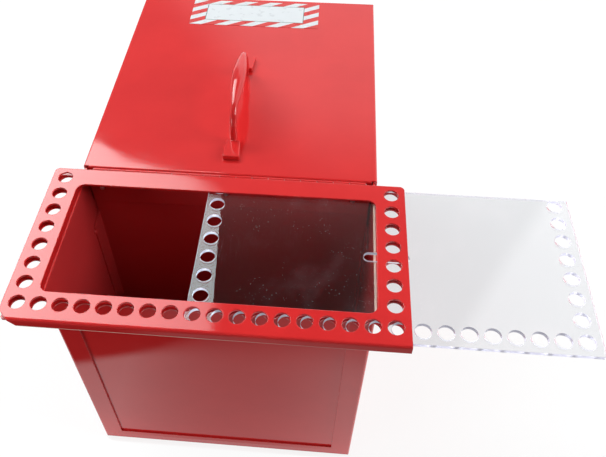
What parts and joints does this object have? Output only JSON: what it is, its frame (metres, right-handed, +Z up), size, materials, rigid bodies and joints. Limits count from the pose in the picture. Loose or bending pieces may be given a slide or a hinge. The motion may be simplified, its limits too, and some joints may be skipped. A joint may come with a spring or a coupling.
{
  "type": "group lockout box",
  "caption": "Sheet steel group lockout box: a clear sliding pane with padlock holes over a front compartment, and a hinged lid with a carrying handle over a rear one.",
  "frame": {"origin": "middle of the base, on the surface that the box stands on", "axes": "+X to the right, the way the pane slides out; +Y from the front frame to the rear wall; +Z up"},
  "size_m": [0.425, 0.4265, 0.2956],
  "materials": {
    "painted_steel": "gloss",
    "clear_pane": "clear, lightly scratched",
    "bare_steel": "plain steel",
    "label": "printed film, bare"
  },
  "bodies": {
    "box": {"left_side": "painted_steel", "right_side": "painted_steel", "floor_sheet": "painted_steel", "front_header": "painted_steel", "front_panel": "painted_steel", "partition": "painted_steel", "partition_welds": "painted_steel", "rear_wall": "painted_steel", "lower_plate": "painted_steel", "top_plate": "painted_steel", "rear_strip": "painted_steel", "left_spacer": "painted_steel", "hinge_body_leaf": "painted_steel", "hinge_pin": "bare_steel", "hinge_body_rivets": "bare_steel"},
    "pane": {"window": "clear_pane"},
    "lid": {"lid": "painted_steel", "lid_label": "label", "handle": "painted_steel", "hinge_lid_leaf": "painted_steel", "hinge_lid_rivets": "bare_steel"}
  },
  "joints": [
    {"name": "pane_slide", "type": "slide", "parent": "box", "child": "pane", "axis": [1, 0, 0], "range_m": [-0.131, 0.12]},
    {"name": "lid_hinge", "type": "hinge", "parent": "box", "child": "lid", "pos_m": [0, -0.0718, 0.2563], "axis": [1, 0, 0], "range_deg": [0, 92]}
  ]
}
